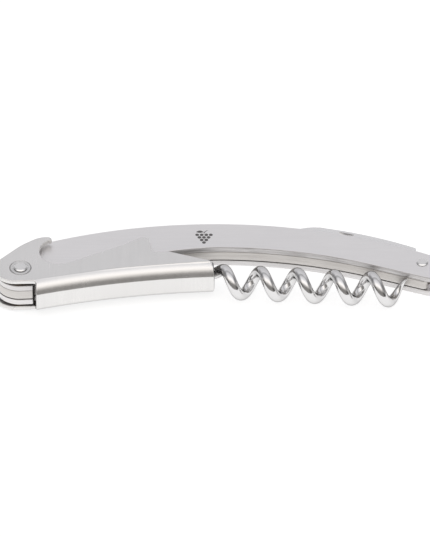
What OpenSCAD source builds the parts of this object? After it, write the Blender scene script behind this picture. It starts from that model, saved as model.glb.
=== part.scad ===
// Folding lever corkscrew, lying on its side.
// X runs along the folded tool, Y points to the convex back of the handle, Z is the thickness.
// Every outline is laid out round the mid-plane of the tool, and place() then stands it on Z = 0.

/* [Handle] */
// Radius of the convex back edge of the handle
back_r = 132; // [125:1:136]
// Width of the slim part of the handle
handle_w = 9.6; // [9.2:0.1:9.8]
// Thickness of each side liner
liner_t = 1.6; // [1.3:0.1:1.6]
// Clear gap between the two liners
liner_gap = 3; // [3:0.1:3.2]
// Thickness of the centre spacer and of the knife's backspring
spacer_t = 2.6; // [2.4:0.1:2.6]

/* [Lever] */
// Outside width of the lever channel
channel_w = 10.2; // [10.1:0.1:10.6]
// Sheet thickness of the lever channel
sheet_t = 1.3; // [1:0.1:1.4]
// Outside radius of the two bends along the channel
bend_r = 3.3; // [2.8:0.1:3.6]
// Radius of the cap lifter's mouth
mouth_r = 5; // [4.6:0.1:5]

/* [Worm] */
// Diameter of the worm's wire
wire_d = 3; // [2.6:0.1:3]
// Outside diameter of the worm
worm_d = 9.4; // [8.8:0.1:9.5]
// Pitch of the worm
worm_pitch = 9.7; // [9.6:0.05:9.8]
// Angle that the folded worm droops away from the X axis
worm_droop = 4.1; // [4:0.1:4.4]

/* [Knife] */
// Thickness of the foil knife's blade
blade_t = 2; // [1.6:0.1:2.2]
// Number of scallops along the cutting edge
scallops = 9; // [5:1:11]

/* [Fasteners] */
// Radius of the lever rivet's shank
lever_rivet_r = 1.5; // [1.3:0.1:1.6]
// Radius of the worm pin's shank
worm_pin_r = 1.2; // [1:0.1:1.3]
// Radius of the knife rivet's shank
knife_rivet_r = 1.1; // [0.9:0.1:1.2]

/* [Hidden] */

fit = 0.03;                    // radial clearance of every pin in its hole
skin = 0.01;                   // clearance between faces that slide on each other
arc_step = 2;                  // longest chord on a large arc
turn_step = 7;                 // largest turn between two points of a rounded corner
steel = "#b9b8b7";
bright_steel = "#d2d3d5";
bronze = "#a8895a";

// Places in the plan, measured from the middle of the handle's curve
handle_c = [0, 14.6 - back_r];
belly_r = back_r - handle_w;
lever_at = [-51.1, -5.7];
worm_at = [-15.7, -1];
knife_at = [54.5, -1.2];
plan_mid = [1.57, 1.02];       // middle of the folded tool's plan

liner_z = liner_gap / 2;                          // inner face of a liner
handle_z = liner_z + liner_t;                     // outer face of a liner
channel_z = channel_w / 2;                        // outer face of the lever's side
spacer_low = -1.15;                               // lower face of the centre layer
rivet_z = channel_z + 0.5;                        // top of the lever rivet's head, the highest point

function unit(v) = v / norm(v);
function turn_between(a, b) = let (d = b - a) d > 180 ? d - 360 : d < -180 ? d + 360 : d;
function flat_angle(v) = atan2(v[1], v[0]);

// Points along an arc, from angle a to angle b
function arc(c, r, a, b) =
    let (n = max(2, ceil(abs(b - a) * PI * r / 180 / min(arc_step, r / 6))))
    [for (i = [0:n]) let (t = a + (b - a) * i / n) [c[0] + r * cos(t), c[1] + r * sin(t), 0]];

// The arc that rounds corner q, between its neighbours p and s
function corner(p, q, s) =
    let (r = q[2], o = [q[0], q[1]], a = unit([p[0], p[1]] - o), b = unit([s[0], s[1]] - o),
         half = acos(max(-1, min(1, a * b))) / 2)
    r == 0 || half > 89.5 ? [o] :
    let (reach = r / tan(half), c = o + unit(a + b) * r / sin(half),
         from = flat_angle(o + a * reach - c), turn = turn_between(from, flat_angle(o + b * reach - c)),
         n = max(2, ceil(abs(turn) / turn_step)))
    [for (i = [0:n]) c + r * [cos(from + turn * i / n), sin(from + turn * i / n)]];

// An outline from its corners, each [x, y, radius]
function outline(c) =
    [for (i = [0:len(c) - 1]) each corner(c[(i + len(c) - 1) % len(c)], c[i], c[(i + 1) % len(c)])];

function on_arc_y(c, r, x) = c[1] + sqrt(r * r - pow(x - c[0], 2));
function angle_at(c, r, x) = acos((x - c[0]) / r);

module place() { translate([-plan_mid[0], -plan_mid[1], rivet_z]) children(); }
module slab(low, high) { translate([0, 0, low]) linear_extrude(high - low) children(); }
module hole(at, r, reach = 20) { translate([at[0], at[1], -reach]) cylinder(r = r, h = 2 * reach, $fn = 64); }
module ring(at, inner, outer, low, high) {
    translate([at[0], at[1], low]) difference() {
        cylinder(r = outer, h = high - low, $fn = 64);
        translate([0, 0, -1]) cylinder(r = inner, h = high - low + 2, $fn = 64);
    }
}

// A rivet with the same low domed head at both ends
module rivet(at, shank_r, head_r, seat_z, top_z) {
    rim = (top_z - seat_z) * 0.4;
    crown = top_z - seat_z - rim;
    flat_r = head_r * 0.45;
    head = [for (i = [0:6]) [flat_r + (head_r - flat_r) * cos(15 * i), seat_z + rim + crown * sin(15 * i)]];
    translate([at[0], at[1], 0]) {
        for (side = [0, 1]) mirror([0, 0, side]) rotate_extrude($fn = 64)
            polygon(concat([[0, 0], [shank_r, 0], [shank_r, seat_z], [head_r, seat_z]], head, [[0, top_z]]));
    }
}

// ---- Handle ----
end_a = 63.6;                                     // angle on the handle's curve where its round end begins
end_r = 4.45;                                     // radius of the round end
end_c = handle_c + (back_r - end_r) * [cos(end_a), sin(end_a)];
end_turn = 173.5;                                 // sweep of the round end
straight_x = 42;                                  // where the belly runs straight on towards the round end
straight_from = [straight_x, on_arc_y(handle_c, belly_r, straight_x)];
straight_to = end_c + end_r * [cos(end_a - end_turn), sin(end_a - end_turn)];
slim_x = 4;                                       // left of here the belly curves down towards the lug
slim_r = 60;                                      // radius of that stretch of the belly
slim_from = [slim_x, on_arc_y(handle_c, belly_r, slim_x)];
slim_c = slim_from + (handle_c - slim_from) * slim_r / belly_r;
lug_x = -12.4;                                    // right end of the lug for the worm
corner_x = -43.6;                                 // where the back edge turns down to the knuckle
step_x = -47.55;                                  // where the knuckle steps back to go under the lever's spine

// The lug for the worm, the deep cheek under the lever and the knuckle for the lever, from right to left
cheek_corners = [[lug_x, on_arc_y(slim_c, slim_r, lug_x), 0.4], [lug_x, -4.4, 3], [-31, -7.4, 80],
                 [step_x, -9.6, 0.3], [step_x, -10.85, 0.5],
                 [-57.5, -11.5, 6.1], [-57.5, -2.7, 4.7], [-51.4, 2.4, 14], [-46.6, 5.9, 6]];

// The belly of the handle, from its straight right end to x
function belly(x) = concat(
    arc(handle_c, belly_r, angle_at(handle_c, belly_r, straight_x), angle_at(handle_c, belly_r, slim_x)),
    arc(slim_c, slim_r, angle_at(slim_c, slim_r, slim_x - 1.5), angle_at(slim_c, slim_r, x)));

function handle_outline() = outline(concat(
    arc(handle_c, back_r, angle_at(handle_c, back_r, corner_x), end_a),
    arc(end_c, end_r, end_a - 2, end_a - end_turn),
    belly(lug_x + 0.8), cheek_corners));

function straight_y(x) =
    let (part = (x - straight_from[0]) / (straight_to[0] - straight_from[0]))
    straight_from[1] + part * (straight_to[1] - straight_from[1]);

spacer_dowels_at = [[-38, -2], [-25, 3]];
backspring_dowels_at = [[-2.2, 9.6], [8.6, 9.3]];
dowel_r = 1;
dowel_reach = liner_z + 0.9;                      // the dowels end inside the liners, out of sight
bush_r = 2.4;

module liner(low, high) {
    color(steel) place() difference() {
        slab(low, high) polygon(handle_outline());
        hole(lever_at, lever_rivet_r + fit);
        hole(worm_at, worm_pin_r + fit);
        hole(knife_at, knife_rivet_r + fit);
        for (p = concat(spacer_dowels_at, backspring_dowels_at)) hole(p, dowel_r + fit, dowel_reach + fit);
    }
}

module upper_liner() { liner(liner_z, handle_z); }
module lower_liner() { liner(-handle_z, -liner_z); }

// The centre layer under the lever; it stops short of the worm's hinge block
split_x = -10.6;                                     // where the spacer meets the backspring
block_room = [[-19.4, 2.6, 3.2], [5, 2.6, 0], [5, -15, 0], [-19.4, -15, 0]];

module center_spacer() {
    color(steel) place() difference() {
        slab(spacer_low, spacer_low + spacer_t) intersection() {
            polygon(handle_outline());
            translate([-70, -30]) square([70 + split_x, 60]);
        }
        translate([0, 0, -10]) linear_extrude(20) polygon(outline(block_room));
        hole(lever_at, bush_r + fit);
        for (p = spacer_dowels_at) hole(p, dowel_r + fit);
    }
}

// The backspring fills the handle up to the knife's tip, then runs on as a strip under the blade
tang_r = 3.4;
tang_gap = 0.12;
pocket_x = 13.2;
spring_x = split_x + 0.04;
spring_end_x = knife_at[0] + 1.45;
strip_r = norm(knife_at - handle_c) - tang_r - tang_gap;

function backspring_outline() = outline(concat(
    [[spring_x, on_arc_y(slim_c, slim_r, spring_x), 0], [spring_x, on_arc_y(handle_c, back_r, spring_x), 0]],
    arc(handle_c, back_r, angle_at(handle_c, back_r, split_x + 2), angle_at(handle_c, back_r, pocket_x - 1)),
    [[pocket_x, on_arc_y(handle_c, back_r, pocket_x), 0.5], [pocket_x, on_arc_y(handle_c, strip_r, pocket_x), 1.5]],
    arc(handle_c, strip_r, angle_at(handle_c, strip_r, pocket_x + 3), angle_at(handle_c, strip_r, spring_end_x - 1)),
    [[spring_end_x, on_arc_y(handle_c, strip_r, spring_end_x), 0],
     [spring_end_x, straight_y(spring_end_x), 1.05]],
    belly(spring_x + 1)));

module knife_backspring() {
    color(steel) place() difference() {
        slab(spacer_low, spacer_low + spacer_t) polygon(backspring_outline());
        for (p = backspring_dowels_at) hole(p, dowel_r + fit);
    }
}

module dowels(at) {
    color(steel) place() for (p = at)
        translate([p[0], p[1], -dowel_reach]) cylinder(r = dowel_r, h = 2 * dowel_reach, $fn = 48);
}

module spacer_dowels() { dowels(spacer_dowels_at); }
module backspring_dowels() { dowels(backspring_dowels_at); }

burr_r = 2.75;
burr_seat = 0.2;                                  // depth of the burr's seat in the lever's side
burr_top = channel_z + 0.05;

module lever_rivet() { color(bright_steel) place() rivet(lever_at, lever_rivet_r, 1.8, burr_top + skin, rivet_z); }
module lever_bush() {
    color(bright_steel) place() ring(lever_at, lever_rivet_r + fit, bush_r, -liner_z + skin, liner_z - skin);
}
module worm_pin() { color(bright_steel) place() rivet(worm_at, worm_pin_r, 1.9, handle_z, handle_z + 0.35); }
module knife_rivet() { color(bright_steel) place() rivet(knife_at, knife_rivet_r, 1.55, handle_z, handle_z + 0.42); }

// ---- Lever ----
spine_r = 210;                                    // outer face of the channel's spine
spine_c = [9.6, -215.95];
spine_start_x = -46.9;
spine_end_x = -0.1;
mouth_c = [-41.2, 1.2];
side_depth = 32;                                  // more than the lever's sides reach back from the spine
far_x = -80;                                      // well past the nose
side_end_r = 1.5;                                 // rounding of the channel's end, seen from the spine
end_bow_r = 38;                                   // the channel's end bows out a little in the middle

// The side of the lever: nose, cap lifter's hook and mouth, tooth, and the taper to the tip
lever_corners_left = [[spine_start_x, -16, 0], [spine_start_x, -10.9, 0.8], [-58, -11.3, 5.5], [-58, -3.7, 4.6],
                      [-51, 3.7, 15], [-46.2, 7, 6], [-42.8, 7, 1.1], [-43, 5.5, 0.25]];
lever_corners_right = [[-39.2, -3.8, 6], [-24, 4, 18], [-17.6, 8.3, 1.8], [-16.5, 0.95, 1.3], [-12, 1.05, 4],
                       [spine_end_x + 1, -3.4, 0], [spine_end_x + 1, -9, 0]];

function lever_outline() = outline(concat(
    lever_corners_left, arc(mouth_c, mouth_r, 121, 264), lever_corners_right));

// Half of the channel's cross-section: [distance from the spine's centre of curvature, height]
function channel_side(depth) = concat(
    [for (i = [0:12]) [spine_r + bend_r - bend_r * cos(7.5 * i), channel_z - bend_r + bend_r * sin(7.5 * i)]],
    [[spine_r + depth, channel_z], [spine_r + depth, channel_z - sheet_t]],
    [for (i = [12:-1:0]) let (r = bend_r - sheet_t)
        [spine_r + bend_r - r * cos(7.5 * i), channel_z - bend_r + r * sin(7.5 * i)]]);

module channel_blank() {
    upper = channel_side(side_depth);
    lower = [for (i = [len(upper) - 1:-1:0]) [upper[i][0], -upper[i][1]]];
    a0 = angle_at(spine_c, spine_r, spine_end_x + 4);
    a1 = angle_at(spine_c, spine_r, far_x + 18);
    translate(spine_c) rotate(a0) rotate_extrude(angle = a1 - a0, $fn = 360) polygon(concat(upper, lower));
}

// The channel seen square on to its spine: two round corners and a bowed edge at the tip
module spine_outline() {
    intersection() {
        polygon(outline([[far_x, -channel_z - 1, 0], [far_x, channel_z + 1, 0],
            [-10, channel_z + 1, 0], [-10, channel_z, 0],
            [spine_end_x, channel_z, side_end_r], [spine_end_x, -channel_z, side_end_r],
            [-10, -channel_z, 0], [-10, -channel_z - 1, 0]]));
        union() {
            translate([spine_end_x - end_bow_r, 0]) circle(r = end_bow_r, $fn = 240);
            translate([far_x, -20]) square([60, 40]);
        }
    }
}

module lever_channel() {
    color(steel) place() difference() {
        intersection() {
            channel_blank();
            slab(-20, 20) polygon(lever_outline());
            translate([0, 20, 0]) rotate([90, 0, 0]) linear_extrude(60) spine_outline();
        }
        hole(lever_at, lever_rivet_r + fit);
        for (side = [0, 1]) mirror([0, 0, side])
            translate([lever_at[0], lever_at[1], channel_z - burr_seat]) cylinder(r = burr_r + fit, h = 1, $fn = 64);
    }
}

module lever_washer(side) {
    color(bright_steel) place() mirror([0, 0, side])
        ring(lever_at, lever_rivet_r + fit, 3.2, handle_z + skin, channel_z - sheet_t - skin);
}
module lever_washer_upper() { lever_washer(0); }
module lever_washer_lower() { lever_washer(1); }

module lever_burr(side) {
    color(bright_steel) place() mirror([0, 0, side])
        ring(lever_at, lever_rivet_r + fit, burr_r, channel_z - burr_seat, burr_top);
}
module lever_burr_upper() { lever_burr(0); }
module lever_burr_lower() { lever_burr(1); }

// ---- Worm ----
// In its own frame the worm's shank runs from the pivot along +X, and the helix hangs below it.
wire_r = wire_d / 2;
helix_r = worm_d / 2 - wire_r;
block_len = 5;
spigot_r = 0.9;
spigot_start = 2.2;
helix_start = 15;
run_in = 3.5;                                     // length over which the helix picks up its pitch
worm_len = 66.5;
taper = 4.6;                                      // length of the ground point
point_inset = 0.3;                               // how far the point is ground in from the outside
sides = 12;
helix_turn = 360 / worm_pitch;                    // degrees of turn for each millimetre
rings_straight = [block_len, helix_start];

function phase(x) = let (s = x - helix_start) s <= 0 ? 0 : s < run_in ? helix_turn * s * s / run_in / 2
    : helix_turn * (s - run_in / 2);
function taper_left(x) = min(1, (worm_len - x) / taper);
function radius_at(x) = helix_r - point_inset * pow(1 - taper_left(x), 1.5);
function wire_at(x) = 0.08 + (wire_r - 0.08) * pow(taper_left(x), 0.8);
function centre_at(x) = [x, -helix_r + radius_at(x) * cos(phase(x)), radius_at(x) * sin(phase(x))];
function ring_at(x) =
    let (d = unit(centre_at(x + 0.01) - centre_at(x - 0.01)),
         axis_dir = unit([0, cos(phase(x)), sin(phase(x))]),
         n = unit(axis_dir - (axis_dir * d) * d), b = cross(d, n))
    [for (k = [0:sides - 1]) centre_at(x) + wire_at(x) * (n * cos(360 * k / sides) + b * sin(360 * k / sides))];
ring_step = 0.5;
ring_places = concat(rings_straight, [for (x = [helix_start + ring_step:ring_step:worm_len]) x], [worm_len]);

module wire() {
    rings = [for (x = ring_places) ring_at(x)];
    n = len(rings);
    polyhedron(points = [for (r = rings) each r], faces = concat(
        [[for (k = [0:sides - 1]) k]],
        [for (i = [0:n - 2], k = [0:sides - 1]) let (a = i * sides + k, b = i * sides + (k + 1) % sides)
            each [[a, a + sides, b], [b, a + sides, b + sides]]],
        [[for (k = [sides - 1:-1:0]) (n - 1) * sides + k]]), convexity = 10);
}

module in_worm_frame() { translate([worm_at[0], worm_at[1], 0]) rotate(-worm_droop) children(); }

module worm_spiral() {
    color(bright_steel) place() in_worm_frame() {
        wire();
        translate([spigot_start, 0, 0]) rotate([0, 90, 0])
            cylinder(r = spigot_r, h = block_len - spigot_start + 0.2, $fn = 32);
    }
}

module worm_hinge_block() {
    block_z = liner_z - 0.08;
    color(bright_steel) place() in_worm_frame() difference() {
        slab(-block_z, block_z) union() {
            circle(r = 3, $fn = 64);
            translate([0, -2]) square([block_len - 0.02, 4]);
        }
        translate([0, 0, -5]) cylinder(r = worm_pin_r + fit, h = 10, $fn = 48);
        translate([spigot_start - 0.1, 0, 0]) rotate([0, 90, 0]) cylinder(r = spigot_r + 0.01, h = 6, $fn = 32);
    }
}

// ---- Knife ----
// Closed outline: tang round the rivet, shoulder, curved back, round nose and scalloped edge
blade_back_r = 105;
blade_back_c = [7.1, -87.35];
nose_r = 12;
nose_c = [26.3, 3.75];
shoulder_x = knife_at[0] - 1.55;
edge_r = back_r - 4.9;
scallop_r = 1.25;
heel_x = 45.5;
grind_w = 3.2;                                    // width of the ground bevel along the edge
edge_t = 0.3;                                     // thickness left at the edge
grind_from = 180 - angle_at([0, 0], edge_r, -heel_x + 1.5);
nick_at = [34.6, 12.85];
nick_r = 3.6;
nick_depth = 0.55;
nick_w = 0.75;

function blade_outline() = outline(concat(
    arc(knife_at, tang_r, 180 + 62, 360 + 117.1),
    [[shoulder_x, on_arc_y(blade_back_c, blade_back_r, shoulder_x), 0.5]],
    arc(blade_back_c, blade_back_r, angle_at(blade_back_c, blade_back_r, shoulder_x - 1.2),
        angle_at(blade_back_c, blade_back_r, 28.9)),
    arc(nose_c, nose_r, 82, 150),
    [[15.2, 8.75, 0.4]],
    arc(handle_c, edge_r, angle_at(handle_c, edge_r, 17.5), angle_at(handle_c, edge_r, heel_x - 1)),
    [[heel_x, on_arc_y(handle_c, edge_r, heel_x), 0.4], [heel_x + 1.2, 1.8, 0.8], [49.4, -2.2, 0.6]]));

// What grinding takes off one side of the blade, down to the cutting edge
module grind() {
    low = edge_r - 1.5;
    high = edge_r + grind_w;
    slope = (blade_t - edge_t) / 2 / grind_w;
    translate(handle_c) rotate(grind_from) rotate_extrude(angle = 88 - grind_from, $fn = 360)
        polygon([[low, blade_t / 2 - slope * (high - low)], [high, blade_t / 2],
                 [high, blade_t / 2 + 0.5], [low, blade_t / 2 + 0.5]]);
}

module knife_blade() {
    scallop_pitch = 24 / scallops;
    color(bright_steel) place() difference() {
        slab(-blade_t / 2, blade_t / 2) difference() {
            polygon(blade_outline());
            for (i = [0:scallops - 1]) let (x = 19.5 + scallop_pitch * i)
                translate([x, on_arc_y(handle_c, edge_r, x) - 0.75]) circle(r = scallop_r, $fn = 32);
        }
        for (side = [0, 1]) mirror([0, 0, side]) grind();
        hole(knife_at, knife_rivet_r + fit);
        // Nail nick: a tilted disc's rim dipped into the upper side
        translate([nick_at[0], nick_at[1], blade_t / 2]) rotate(-17) rotate([68, 0, 0])
            translate([0, nick_r - nick_depth, 0]) cylinder(r = nick_r, h = nick_w, center = true, $fn = 96);
    }
}

module knife_washer(side) {
    color(bronze) place() mirror([0, 0, side])
        ring(knife_at, knife_rivet_r + fit, 2.6, blade_t / 2 + skin, liner_z - skin);
}
module knife_washer_upper() { knife_washer(0); }
module knife_washer_lower() { knife_washer(1); }

upper_liner();
lower_liner();
center_spacer();
knife_backspring();
spacer_dowels();
backspring_dowels();
lever_rivet();
lever_bush();
worm_pin();
knife_rivet();
lever_channel();
lever_washer_upper();
lever_washer_lower();
lever_burr_upper();
lever_burr_lower();
worm_spiral();
worm_hinge_block();
knife_blade();
knife_washer_upper();
knife_washer_lower();
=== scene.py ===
import math

import bmesh
import bpy
from mathutils import Matrix, Vector


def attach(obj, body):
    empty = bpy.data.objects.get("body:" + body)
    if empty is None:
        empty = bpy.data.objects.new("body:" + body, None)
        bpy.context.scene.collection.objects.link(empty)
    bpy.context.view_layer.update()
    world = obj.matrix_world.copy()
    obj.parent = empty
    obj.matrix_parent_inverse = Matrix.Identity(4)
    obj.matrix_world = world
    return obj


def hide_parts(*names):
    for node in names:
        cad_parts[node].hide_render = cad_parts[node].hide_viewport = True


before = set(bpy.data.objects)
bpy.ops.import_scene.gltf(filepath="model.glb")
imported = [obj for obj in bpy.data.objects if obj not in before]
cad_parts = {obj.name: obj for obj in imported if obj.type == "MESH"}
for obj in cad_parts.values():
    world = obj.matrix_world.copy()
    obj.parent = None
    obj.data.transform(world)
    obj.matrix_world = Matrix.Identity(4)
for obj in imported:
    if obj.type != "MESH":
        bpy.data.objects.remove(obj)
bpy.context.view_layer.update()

# A folding lever corkscrew, lying folded on its side. Lengths are in millimetres until row() or MM turns them
# into metres. The plan is laid out as in the CAD source, round the middle of the handle's curve.
MM = 0.001
PLAN_MID = (1.57, 1.02)        # middle of the folded tool's plan
RIVET_Z = 5.6                  # height of the tool's mid-plane above the floor
HANDLE_Z = 3.1                 # outer face of a liner, from the mid-plane
CHANNEL_Z = 5.1                # outer face of the lever's side, from the mid-plane
SHEET_T = 1.3                  # the lever's sheet
LEVER_AT = (-51.1, -5.7)
WORM_AT = (-15.7, -1.0)
KNIFE_AT = (54.5, -1.2)


def row(x, y, z):
    """A point of the plan, with its height above the tool's mid-plane, as a point of the row frame."""
    return Vector((x - PLAN_MID[0], y - PLAN_MID[1], z + RIVET_Z)) * MM


def plan(point):
    """The other way round: a point of the row frame as plan x, plan y and height above the mid-plane."""
    return Vector((point.x / MM + PLAN_MID[0], point.y / MM + PLAN_MID[1], point.z / MM - RIVET_Z))


# ---- Materials ----
class Graph:
    """A short way to write a material's or the world's nodes."""

    def __init__(self, tree):
        self.tree = tree
        tree.nodes.clear()

    def add(self, kind, inputs=None, **settings):
        node = self.tree.nodes.new(kind)
        for key, value in settings.items():
            setattr(node, key, value)
        for key, value in (inputs or {}).items():
            if isinstance(value, bpy.types.NodeSocket):
                self.tree.links.new(value, node.inputs[key])
            else:
                node.inputs[key].default_value = value
        return node

    def math(self, operation, *values):
        return self.add("ShaderNodeMath", dict(enumerate(values)), operation=operation).outputs[0]

    def noise(self, coordinates, scale, detail=3, roughness=0.55, size=(1, 1, 1)):
        mapped = self.add("ShaderNodeMapping", {"Vector": coordinates, "Scale": size}).outputs[0]
        return self.add("ShaderNodeTexNoise", {
            "Vector": mapped, "Scale": scale, "Detail": detail, "Roughness": roughness}).outputs["Fac"]

    def span(self, value, low, high, start=0, end=1):
        """value, from start..end, stretched to low..high."""
        return self.add("ShaderNodeMapRange", {
            "Value": value, "From Min": start, "From Max": end, "To Min": low, "To Max": high}).outputs[0]

    def times(self, tint, factors):
        """A colour times another, or times one number for all three."""
        return self.add("ShaderNodeVectorMath", {0: tint, 1: factors}, operation="MULTIPLY").outputs[0]

    def mix(self, share, first, second):
        """The colour that is share of the way from first to second."""
        return self.add("ShaderNodeMix", {0: share, 6: first, 7: second}, data_type="RGBA").outputs[2]


# Grain sizes, in lines per metre along X, Y and Z
ALONG = (160, 3400, 3400)      # lines along X
ACROSS = (2900, 130, 130)      # lines along Y, on faces
UPRIGHT = (2900, 2900, 90)     # lines along Z, on walls
EDGEWISE = (120, 120, 4200)    # lines along the edge, on walls
BROAD = 0.31                   # broader lines between them, as a share of the fine ones' number
CLOUDS = 55                    # clouds in the finish, per metre
BUFFING = 420                  # soft waves left by buffing, per metre
HAIRS = (700, 5200, 5200)      # hairlines left by buffing, per metre
SHADE_WARMTH = (1, 0.975, 0.95)      # warm tint of the painted shade on the steel's walls
# The painted shade on the handle's walls is deepest beyond the knuckle and above the lower liner, in metres
# of the row frame
KNUCKLE_END = (-0.045, -0.025)
LOWER_WALL_TOP = (0.0041, 0.0065)


def brushed(name, colour, roughness, grain, streak, face_size=ALONG, wall_size=EDGEWISE, wall_painted_shade=1.0,
            edge_painted_shade=1.0, metallic=1.0):
    """Brushed steel, with one grain on faces that look up or down and another on the walls.

    grain is the depth of the lines and streak is how much they change the colour. The wall shade is painted
    shade on the walls high up and away from the knuckle. The edge shade is painted shade where the surface
    turns under or towards the ends.
    """
    material = bpy.data.materials.new(name)
    material.use_nodes = True
    g = Graph(material.node_tree)
    place = g.add("ShaderNodeTexCoord")
    point = place.outputs["Object"]
    normal = g.add("ShaderNodeSeparateXYZ", {0: place.outputs["Normal"]})
    upright = g.math("ABSOLUTE", normal.outputs["Z"])
    on_face = g.add("ShaderNodeMapRange", {"Value": upright, "From Min": 0.8, "From Max": 0.99},
                    interpolation_type="SMOOTHSTEP").outputs[0]
    face_lines = g.noise(point, 1, 3, 0.6, face_size)
    wall_lines = g.noise(point, 1, 3, 0.6, wall_size)
    fine = g.add("ShaderNodeMix", {"Factor": on_face, 2: wall_lines, 3: face_lines}).outputs[0]
    # Broader lines with their own spacing keep the grain from looking ruled
    face_bands = g.noise(point, BROAD, 2, 0.5, face_size)
    wall_bands = g.noise(point, BROAD, 2, 0.5, wall_size)
    broad = g.add("ShaderNodeMix", {"Factor": on_face, 2: wall_bands, 3: face_bands}).outputs[0]
    lines = g.math("MULTIPLY_ADD", fine, 0.6, g.math("MULTIPLY", broad, 0.4))
    clouds = g.noise(point, CLOUDS)
    rough = g.math("ADD", g.span(lines, roughness - 0.1, roughness + 0.1), g.span(clouds, -0.05, 0.05))
    dark = [c * (1 - 2 * streak) for c in colour[:3]] + [1]
    shade = g.math("ADD", g.span(lines, -0.1, 0.75), g.span(clouds, -0.15, 0.45))
    tint = g.mix(shade, dark, colour)
    # Painted shade, tinted warm: the walls darken high up and away from the knuckle, most along the grain's
    # dark lines
    if wall_painted_shade < 1:
        at = g.add("ShaderNodeSeparateXYZ", {0: point})
        away = g.span(at.outputs["X"], 0.45, 1, *KNUCKLE_END)
        high = g.span(at.outputs["Z"], 0.55, 1, *LOWER_WALL_TOP)
        shade_on_walls = g.span(g.math("MAXIMUM", on_face, lines), 1, 0, 0.35, 0.75)
        share = g.math("MULTIPLY", g.math("MULTIPLY", away, high), shade_on_walls)
        tint = g.mix(share, tint, g.times(tint, [wall_painted_shade * c for c in SHADE_WARMTH]))
    # Painted shade: darker where the surface turns under or towards the ends
    if edge_painted_shade < 1:
        under = g.math("MULTIPLY", normal.outputs["Z"], -1.0)
        turned = g.math("MAXIMUM", under, g.math("ABSOLUTE", normal.outputs["X"]))
        tint = g.times(tint, g.span(turned, 1, edge_painted_shade, 0.42, 0.75))
    bump = g.add("ShaderNodeBump", {"Height": lines, "Distance": grain * MM, "Strength": 1})
    shader = g.add("ShaderNodeBsdfPrincipled", {
        "Base Color": tint, "Metallic": metallic, "Roughness": rough, "Normal": bump.outputs[0]})
    g.add("ShaderNodeOutputMaterial", {"Surface": shader.outputs[0]})
    return material


def polished(name, colour, roughness, wave=0.004, edge=1.0):
    """Polished metal with the soft waves that buffing leaves, and fine hairlines.

    wave is the depth of the waves, and edge is the brightness of the metal seen at a grazing angle.
    """
    material = bpy.data.materials.new(name)
    material.use_nodes = True
    g = Graph(material.node_tree)
    point = g.add("ShaderNodeTexCoord").outputs["Object"]
    waves = g.noise(point, BUFFING, 2, 0.5)
    hairs = g.noise(point, 1, 4, 0.7, HAIRS)
    height = g.math("MULTIPLY_ADD", hairs, 0.08, waves)
    rough = g.span(hairs, roughness * 0.6, roughness * 1.5)
    bump = g.add("ShaderNodeBump", {"Height": height, "Distance": wave * MM, "Strength": 1})
    shader = g.add("ShaderNodeBsdfPrincipled", {
        "Base Color": colour, "Metallic": 1, "Roughness": rough, "Normal": bump.outputs[0],
        "Specular Tint": (edge, edge, edge, 1)})
    g.add("ShaderNodeOutputMaterial", {"Surface": shader.outputs[0]})
    return material


# The liner and core walls carry the painted shade
liner_steel = brushed("liner_steel", (0.93, 0.915, 0.915, 1), 0.38, 0.004, 0.07, wall_painted_shade=0.42)
core_steel = brushed("core_steel", (0.76, 0.74, 0.72, 1), 0.36, 0.004, 0.1, wall_painted_shade=0.76)
# The lever's outside carries painted shade where it turns under and at its ends
lever_steel = brushed("brushed_lever_steel", (0.87, 0.86, 0.85, 1), 0.24, 0.007, 0.08, ACROSS, UPRIGHT,
                      edge_painted_shade=0.5)
# A lighter, less metallic copy of the lever steel: painted light on the lever's cut walls
lit_cut_steel = brushed("cut_lever_painted_light", (0.97, 0.96, 0.95, 1), 0.45, 0.004, 0.05, ACROSS, UPRIGHT,
                    metallic=0.3)
# A darker copy of the lever steel: painted shade inside the channel
shaded_inner_steel = brushed("inner_lever_painted_shade", (0.64, 0.63, 0.62, 1), 0.42, 0.004, 0.08, ACROSS, UPRIGHT)
blade_steel = brushed("blade_steel", (0.9, 0.895, 0.895, 1), 0.25, 0.003, 0.05)
rivet_steel = polished("rivet_steel", (0.8, 0.795, 0.79, 1), 0.2)
# A dark copy of the rivet steel: painted shadow on the heads' upright rims
rim_shadow_steel = polished("rivet_rim_painted_shadow", (0.3, 0.295, 0.29, 1), 0.35)
burr_steel = polished("burr_steel", (0.72, 0.715, 0.71, 1), 0.28)
worm_steel = polished("polished_worm_steel", (0.77, 0.765, 0.765, 1), 0.1, 0.05, 0.45)
washer_bronze = brushed("washer_bronze", (0.62, 0.44, 0.24, 1), 0.35, 0.003, 0.08)
etch_dark = brushed("etch_dark", (0.2, 0.195, 0.19, 1), 0.5, 0.003, 0.1)


# ---- Pieces ----
def settle(piece, body, slot, material, *nodes):
    """Gives a piece its material and its body, and hides the CAD nodes it stands for. slot is not used."""
    piece.data.materials.clear()
    piece.data.materials.append(material)
    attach(piece, body)
    if nodes:
        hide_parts(*nodes)
    return piece


def add_mesh(name, bm):
    """Turns a finished bmesh into a piece of the scene."""
    mesh = bpy.data.meshes.new(name)
    bm.to_mesh(mesh)
    bm.free()
    piece = bpy.data.objects.new(name, mesh)
    bpy.context.scene.collection.objects.link(piece)
    return piece


def soften(piece, width=0.0, angle=32):
    """Smooth shading, and edges sharper than angle rounded by width."""
    mesh = piece.data
    mesh.shade_smooth()
    mesh.set_sharp_from_angle(angle=math.radians(angle))
    if width:
        bevel = piece.modifiers.new("edges", "BEVEL")
        bevel.width = width * MM
        bevel.segments = 2
        bevel.limit_method = "ANGLE"
        bevel.angle_limit = math.radians(angle)
        bevel.use_clamp_overlap = True
        bevel.miter_outer = "MITER_ARC"
        weigh = piece.modifiers.new("normals", "WEIGHTED_NORMAL")
        weigh.keep_sharp = True
        weigh.weight = 80
    return piece


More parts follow.
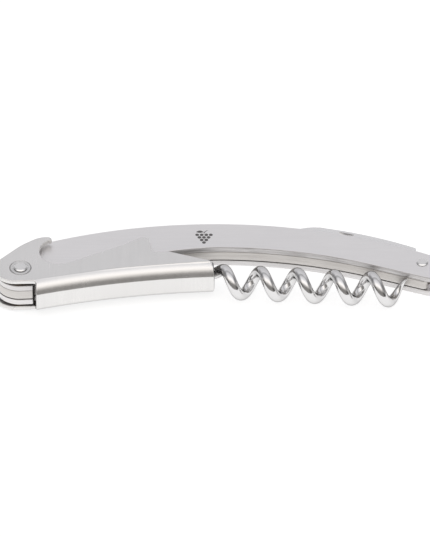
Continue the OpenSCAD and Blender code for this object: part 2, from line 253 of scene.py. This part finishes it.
def cad_mesh(node, merge=0.002):
    """A tidy copy of a CAD node's mesh, in bmesh, with points closer than merge made one."""
    bm = bmesh.new()
    bm.from_mesh(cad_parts[node].data)
    bmesh.ops.remove_doubles(bm, verts=bm.verts, dist=merge * MM)
    bmesh.ops.dissolve_limit(bm, angle_limit=math.radians(0.25), verts=bm.verts, edges=bm.edges)
    return bm


def round_edges(bm, width):
    """Rounds every edge sharper than 40 degrees in the mesh itself."""
    sharp = [e for e in bm.edges if e.is_manifold and e.calc_face_angle() > math.radians(40)]
    bmesh.ops.bevel(bm, geom=sharp, offset=width * MM, segments=3, profile=0.5, affect="EDGES",
                    clamp_overlap=False, miter_outer="ARC")


def from_cad(name, node, body, slot, material, width):
    """Makes a piece with the CAD node's shape and its hard edges rounded by width."""
    settle(soften(add_mesh(name, cad_mesh(node)), width), body, slot, material, node)


for side in ("upper", "lower"):
    from_cad(f"{side}_liner_plate", f"{side}_liner", "handle", "liner_steel", liner_steel, 0.14)
    from_cad(f"{side}_lever_washer", f"lever_washer_{side}", "lever", "washer_bronze", washer_bronze, 0.05)
    from_cad(f"{side}_knife_washer", f"knife_washer_{side}", "knife", "washer_bronze", washer_bronze, 0.04)
from_cad("centre_layer", "center_spacer", "handle", "core_steel", core_steel, 0.07)
from_cad("backspring_layer", "knife_backspring", "handle", "core_steel", core_steel, 0.07)
from_cad("lever_bush_tube", "lever_bush", "handle", "rivet_steel", rivet_steel, 0.05)
from_cad("worm_pin_round", "worm_pin", "handle", "rivet_steel", rivet_steel, 0.05)
from_cad("worm_knuckle", "worm_hinge_block", "worm", "polished_worm_steel", rivet_steel, 0.15)
from_cad("foil_blade", "knife_blade", "knife", "blade_steel", blade_steel, 0.06)
# The dowels are out of sight and keep their CAD meshes
for node in ("spacer_dowels", "backspring_dowels"):
    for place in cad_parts[node].material_slots:
        place.material = core_steel


# ---- Lever ----
SPINE_R = 210                  # curve of the channel's spine, seen from above
SPINE_C = (9.6, -215.95)
BEND_R = 3.3
LEVER_EDGE = 0.28              # rounding of the lever's edges
BORE_AREA_R = 4                # the lever's bores for the rivet lie within this
# The lever's materials in order: its steel, painted shade inside the channel, painted light on cut walls
OUTER = 0
INNER = 1
CUT = 2
# Grinding leaves the bend as a wide arc that meets the side and the spine at these slopes, in degrees
SLOPE_AT_SIDE = 18
SLOPE_AT_SPINE = 70


def spine_frame(x, y):
    """How far the plan's point lies inside the spine's outer face, and the way out of the spine there."""
    out = Vector((SPINE_C[0] - x, SPINE_C[1] - y, 0))
    return out.length - SPINE_R, out.normalized()


def ground_bend(inside, height):
    """Where a point of the bend's round outer face lies after grinding."""
    turned = math.degrees(math.atan2(height - (CHANNEL_Z - BEND_R), BEND_R - inside)) / 90
    slope = math.radians(SLOPE_AT_SPINE + (SLOPE_AT_SIDE - SLOPE_AT_SPINE) * turned)
    low, high = math.radians(SLOPE_AT_SIDE), math.radians(SLOPE_AT_SPINE)
    r = BEND_R / (math.sin(high) - math.sin(low))
    return r * (math.sin(high) - math.sin(slope)), CHANNEL_Z - r * (math.cos(low) - math.cos(slope))


def grind_bends(bm):
    """Moves the outer faces of the channel's two bends to where grinding leaves them."""
    for v in bm.verts:
        p = plan(v.co)
        inside, out = spine_frame(p.x, p.y)
        corner = Vector((BEND_R - inside, abs(p.z) - (CHANNEL_Z - BEND_R)))
        if corner.x >= 0 and corner.y >= 0 and corner.length > BEND_R - 0.1:
            new_inside, height = ground_bend(inside, abs(p.z))
            p = p + out * (inside - new_inside)
            v.co = row(p.x, p.y, math.copysign(height, p.z))


def lever_face_material(face):
    """Which of the lever's materials a face gets: OUTER, INNER (painted shade) or CUT (painted light)."""
    p = plan(face.center)
    inside, out = spine_frame(p.x, p.y)
    within = abs(p.z) < CHANNEL_Z - SHEET_T + 0.02 and inside > SHEET_T - 0.05
    along = abs(face.normal.dot(out.cross(Vector((0, 0, 1)))))
    if within and along < 0.7:
        return INNER
    # Behind the spine the sides were cut out round the cap lifter's mouth and the tooth
    in_bore = math.hypot(p.x - LEVER_AT[0], p.y - LEVER_AT[1]) < BORE_AREA_R
    if inside <= BEND_R + 1 or abs(face.normal.z) >= 0.9 or in_bore:
        return OUTER
    # Cut edges that look back get the inside's painted shade, the others painted light
    return INNER if face.normal.y > 0.25 else CUT


def make_lever():
    """The channel with ground bends and rounded edges, painted shade inside and painted light on the cut
    walls round the mouth.
    """
    bm = cad_mesh("lever_channel", 0.05)
    grind_bends(bm)
    round_edges(bm, LEVER_EDGE)
    piece = soften(add_mesh("lever_body", bm), angle=35)
    weigh = piece.modifiers.new("normals", "WEIGHTED_NORMAL")
    weigh.keep_sharp = True
    settle(piece, "lever", "brushed_lever_steel", lever_steel, "lever_channel")
    piece.data.materials.append(shaded_inner_steel)
    piece.data.materials.append(lit_cut_steel)
    for face in piece.data.polygons:
        face.material_index = lever_face_material(face)


make_lever()


# ---- Rivets ----
def lathe(name, at, profile):
    """A solid of revolution round the upright axis at a place in the plan.

    profile is a list of [radius, height] that starts and ends on the axis, or comes back to its start.
    """
    steps = 72
    bm = bmesh.new()
    rings = []
    for r, z in profile:
        if r == 0:
            rings.append([bm.verts.new(row(at[0], at[1], z))])
            continue
        rings.append([bm.verts.new(row(at[0] + r * math.cos(a), at[1] + r * math.sin(a), z))
                      for a in (2 * math.pi * k / steps for k in range(steps))])
    for low, high in zip(rings, rings[1:]):
        for k in range(steps):
            k2 = (k + 1) % steps
            corners = [low[k % len(low)], low[k2 % len(low)], high[k2 % len(high)], high[k % len(high)]]
            bm.faces.new(list(dict.fromkeys(corners)))
    bmesh.ops.recalc_face_normals(bm, faces=bm.faces)
    return soften(add_mesh(name, bm), angle=50)


def arc(r, z, radius, start, end, steps):
    """Profile points on a circle round [r, z], from start to end degrees away from straight up."""
    turns = [math.radians(start + (end - start) * i / steps) for i in range(steps + 1)]
    return [(r + radius * math.sin(t), z + radius * math.cos(t)) for t in turns]


def make_rivet(name, node, at, shank_r, head_r, seat, top):
    """A rivet with a head at each end: a flat middle, a sloping shoulder, and a low upright rim.

    seat is the height of a head's underside and top that of its flat, both from the mid-plane.
    """
    slope = 38                 # of the shoulder, in degrees
    blend_r = 0.4              # between the flat and the shoulder
    cone = 0.28                # the shoulder's width
    blend_start = head_r - cone - blend_r * math.sin(math.radians(slope))
    half = [(0, top)] + arc(blend_start, top - blend_r, blend_r, 0, slope, 8)
    half += [(head_r, half[-1][1] - cone * math.tan(math.radians(slope))), (head_r, seat), (shank_r, seat)]
    profile = half + [(r, -z) for r, z in reversed(half)]
    rivet = settle(lathe(name, at, profile), "handle", "rivet_steel", rivet_steel, node)
    rivet.data.materials.append(rim_shadow_steel)
    # The upright rims are painted dark: a painted shadow under each head
    for face in rivet.data.polygons:
        upright = abs(face.normal.z) < 0.1
        face.material_index = 1 if upright else 0


def make_burr(side, sign):
    """Makes the ring round a head of the lever rivet, with rounded rims and a sunk inner border."""
    bore_r = 1.53
    border_r = 2.0
    outer_r = 2.68
    rim = 0.1
    low = CHANNEL_Z - 0.2
    border = CHANNEL_Z - 0.01
    high = CHANNEL_Z + 0.04
    profile = [(bore_r, low), (bore_r, border), (border_r, border)]
    profile += arc(border_r + rim, high - rim, rim, -60, 0, 4) + arc(outer_r - rim, high - rim, rim, 0, 90, 6)
    profile += [(outer_r, low), (bore_r, low)]
    ring = lathe(f"{side}_burr_ring", LEVER_AT, [(r, sign * z) for r, z in profile])
    settle(ring, "lever", "burr_steel", burr_steel, f"lever_burr_{side}")


make_rivet("lever_rivet_round", "lever_rivet", LEVER_AT, 1.5, 1.8, CHANNEL_Z + 0.06, RIVET_Z)
make_rivet("knife_rivet_round", "knife_rivet", KNIFE_AT, 1.1, 1.55, HANDLE_Z, HANDLE_Z + 0.42)
make_burr("upper", 1)
make_burr("lower", -1)


# ---- Worm ----
# In its own frame the worm's shank runs from the pivot along +X, and the helix hangs below it.
DROOP = 4.1                    # the folded worm's slope against the handle, in degrees
WIRE_R = 1.5
HELIX_R = 3.2                  # of the wire's centre
SPIGOT_R = 0.9                 # the shank's thin end, in the knuckle's bore
SPIGOT_START = 2.2
SHANK_START = 5.0
HELIX_START = 15.0
RUN_IN = 3.5                   # length over which the helix reaches its full rate
PITCH = 9.7
WORM_LEN = 66.5
TAPER = 4.6                    # length of the ground point
POINT_R = 0.08
POINT_INSET = 0.3              # how far the point is ground in towards the axis
WORM_SIDES = 40
WORM_STEP = 0.2


def turn(x):
    """How far the helix has turned at x, in radians."""
    s = max(0.0, x - HELIX_START)
    at_full_rate = s * s / RUN_IN / 2 if s < RUN_IN else s - RUN_IN / 2
    return at_full_rate * 2 * math.pi / PITCH


def left_of_point(x):
    """1 before the ground point starts, and down to 0 at its tip."""
    return max(0.0, min(1.0, (WORM_LEN - x) / TAPER))


def worm_centre(x):
    radius = HELIX_R - POINT_INSET * (1 - left_of_point(x)) ** 1.5
    return Vector((x, -HELIX_R + radius * math.cos(turn(x)), radius * math.sin(turn(x))))


def wire_radius(x):
    return POINT_R + (WIRE_R - POINT_R) * left_of_point(x) ** 0.8


def make_worm():
    """The wire, swept ring by ring along the shank and the helix, from a rounded shoulder to the point."""
    steps = round((WORM_LEN - HELIX_START) / WORM_STEP)
    stations = [(SPIGOT_START, SPIGOT_R), (SHANK_START, SPIGOT_R), (SHANK_START + 0.02, WIRE_R - 0.3),
                (SHANK_START + 0.1, WIRE_R - 0.1), (SHANK_START + 0.3, WIRE_R), (HELIX_START - 0.5, WIRE_R)]
    for i in range(steps + 1):
        x = HELIX_START + (WORM_LEN - HELIX_START) * i / steps
        stations.append((x, wire_radius(x)))
    stations.append((WORM_LEN + 0.03, POINT_R * 0.5))
    to_row = Matrix.Rotation(math.radians(-DROOP), 3, "Z")
    bm = bmesh.new()
    rings = []
    for x, r in stations:
        centre = worm_centre(x)
        along = (worm_centre(x + 0.01) - worm_centre(x - 0.01)).normalized()
        out = Vector((0, math.cos(turn(x)), math.sin(turn(x))))
        n = (out - along * out.dot(along)).normalized()
        b = along.cross(n)
        ring = []
        for k in range(WORM_SIDES):
            a = 2 * math.pi * k / WORM_SIDES
            p = to_row @ (centre + r * (n * math.cos(a) + b * math.sin(a)))
            ring.append(bm.verts.new(row(WORM_AT[0] + p.x, WORM_AT[1] + p.y, p.z)))
        rings.append(ring)
    for low, high in zip(rings, rings[1:]):
        for k in range(WORM_SIDES):
            k2 = (k + 1) % WORM_SIDES
            bm.faces.new((low[k], low[k2], high[k2], high[k]))
    bm.faces.new(rings[0][::-1])
    bm.faces.new(rings[-1])
    bmesh.ops.recalc_face_normals(bm, faces=bm.faces)
    piece = soften(add_mesh("worm_wire", bm), angle=50)
    settle(piece, "worm", "polished_worm_steel", worm_steel, "worm_spiral")


make_worm()


# ---- The etched grape motif on the upper liner ----
def etch(bm, points):
    """A flat patch of etching, a hair proud of the liner's face."""
    thickness = 0.012
    low = [bm.verts.new(row(x, y, HANDLE_Z - thickness)) for x, y in points]
    high = [bm.verts.new(row(x, y, HANDLE_Z + thickness)) for x, y in points]
    bm.faces.new(low[::-1])
    bm.faces.new(high)
    for k in range(len(points)):
        k2 = (k + 1) % len(points)
        bm.faces.new((low[k], low[k2], high[k2], high[k]))


def make_motif():
    """A plain bunch of grapes: ten berries, a stem and a leaf."""
    centre = Vector((-2.9, 9.4))
    berry_r = 0.5
    pitch = 1.2
    top_row = 0.7              # height of the first row of berries over the centre
    bm = bmesh.new()
    circle = [2 * math.pi * k / 20 for k in range(20)]
    for rows_down, count in enumerate((4, 3, 2, 1)):
        for i in range(count):
            berry = centre + Vector(((i - (count - 1) / 2) * pitch, top_row - rows_down * pitch * 0.87))
            etch(bm, [berry + berry_r * Vector((math.cos(t), math.sin(t))) for t in circle])
    # The stem bends over to the right
    foot = centre + Vector((0, 1.3))
    bend = [foot + Vector((0.9 * (k / 8) ** 2, 1.2 * k / 8)) for k in range(9)]
    half_width = Vector((0.13, 0))
    etch(bm, [p + half_width for p in bend] + [p - half_width for p in reversed(bend)])
    # A leaf, pointed at both ends, grows from the stem to the left and bulges more above than below
    root = foot + Vector((-0.1, 0.55))
    length = 2.0
    shares = [k / 10 for k in range(11)]
    above = [root + Vector((-length * t, 0.62 * math.sin(math.pi * t))) for t in shares]
    below = [root + Vector((-length * t, -0.3 * math.sin(math.pi * t))) for t in reversed(shares[1:-1])]
    etch(bm, above + below)
    bmesh.ops.recalc_face_normals(bm, faces=bm.faces)
    piece = soften(add_mesh("etched_motif", bm))
    settle(piece, "handle", "liner_steel", etch_dark)


make_motif()


# ---- Floor, light and camera ----
def make_floor():
    half = 3.0                 # metres
    bm = bmesh.new()
    corners = [bm.verts.new((x * half, y * half, 0)) for x, y in ((-1, -1), (1, -1), (1, 1), (-1, 1))]
    bm.faces.new(corners)
    floor = add_mesh("floor", bm)
    material = bpy.data.materials.new("floor_white")
    material.use_nodes = True
    g = Graph(material.node_tree)
    shader = g.add("ShaderNodeBsdfPrincipled", {
        "Base Color": (0.45, 0.45, 0.45, 1), "Roughness": 0.9, "Specular IOR Level": 0.1,
        "Emission Color": (1, 1, 1, 1), "Emission Strength": 0.75})
    g.add("ShaderNodeOutputMaterial", {"Surface": shader.outputs[0]})
    floor.data.materials.append(material)


make_floor()

# The studio is a tent of light: (degrees from overhead towards the front, brightness)
TENT = [(-180, 0.9), (-90, 0.8), (-70, 0.68), (-56, 0.75), (-40, 0.75), (-33, 0.85), (-25, 0.45),
        (-17, 0.55), (-9, 0.8), (8, 1.0), (20, 1.3), (32, 1.36), (42, 0.95), (56, 0.32), (70, 0.26),
        (92, 0.32), (180, 1.0)]
TENT_ENDS = (0.55, 0.92)       # how far aside the tent's left and right ends start and finish darkening
END_SHARE = 0.35               # brightness left there
COOL = (0.98, 0.975, 1, 1)     # behind and overhead
WARM = (1, 0.965, 0.93, 1)     # in front


def make_world():
    world = bpy.data.worlds.new("studio")
    bpy.context.scene.world = world
    world.use_nodes = True
    g = Graph(world.node_tree)
    way = g.add("ShaderNodeSeparateXYZ", {0: g.add("ShaderNodeTexCoord").outputs["Generated"]})
    lean = g.math("ARCTAN2", g.math("MULTIPLY", way.outputs["Y"], -1.0), way.outputs["Z"])
    share = g.math("MULTIPLY_ADD", lean, 0.5 / math.pi, 0.5)
    curve = g.add("ShaderNodeFloatCurve", {"Value": share})
    line = curve.mapping.curves[0]
    brightest = max(b for _, b in TENT)
    points = [(0.5 + a / 360, b / brightest) for a, b in TENT]
    line.points[0].location = points[0]
    line.points[1].location = points[-1]
    for p in points[1:-1]:
        line.points.new(*p)
    for p in line.points:
        p.handle_type = "VECTOR"
    curve.mapping.update()
    aside = g.add("ShaderNodeMapRange", {
        "Value": g.math("ABSOLUTE", way.outputs["X"]), "From Min": TENT_ENDS[0], "From Max": TENT_ENDS[1],
        "To Min": brightest, "To Max": brightest * END_SHARE}, interpolation_type="SMOOTHSTEP").outputs[0]
    colour = g.mix(g.span(share, 0, 1, 0.5, 0.6), COOL, WARM)
    background = g.add("ShaderNodeBackground", {
        "Color": colour, "Strength": g.math("MULTIPLY", curve.outputs[0], aside)})
    g.add("ShaderNodeOutputWorld", {"Surface": background.outputs[0]})


make_world()


def make_camera():
    """A long lens, 40 degrees above the floor, that takes in most of the tool but not its two ends."""
    elevation = math.radians(40)
    lens = 1000
    sensor = 36
    frame_w = 141.3
    distance = lens * frame_w * MM / sensor
    camera = bpy.data.objects.new("camera", bpy.data.cameras.new("camera"))
    bpy.context.scene.collection.objects.link(camera)
    camera.data.lens = lens
    camera.data.sensor_width = sensor
    camera.data.clip_start = 0.05
    camera.data.clip_end = 20
    back = Vector((0, -math.cos(elevation), math.sin(elevation)))
    camera.location = row(0, 0, 0) + back * distance
    camera.rotation_euler = (math.radians(90) - elevation, 0, 0)
    bpy.context.scene.camera = camera


make_camera()
bpy.context.scene.view_settings.view_transform = "Standard"
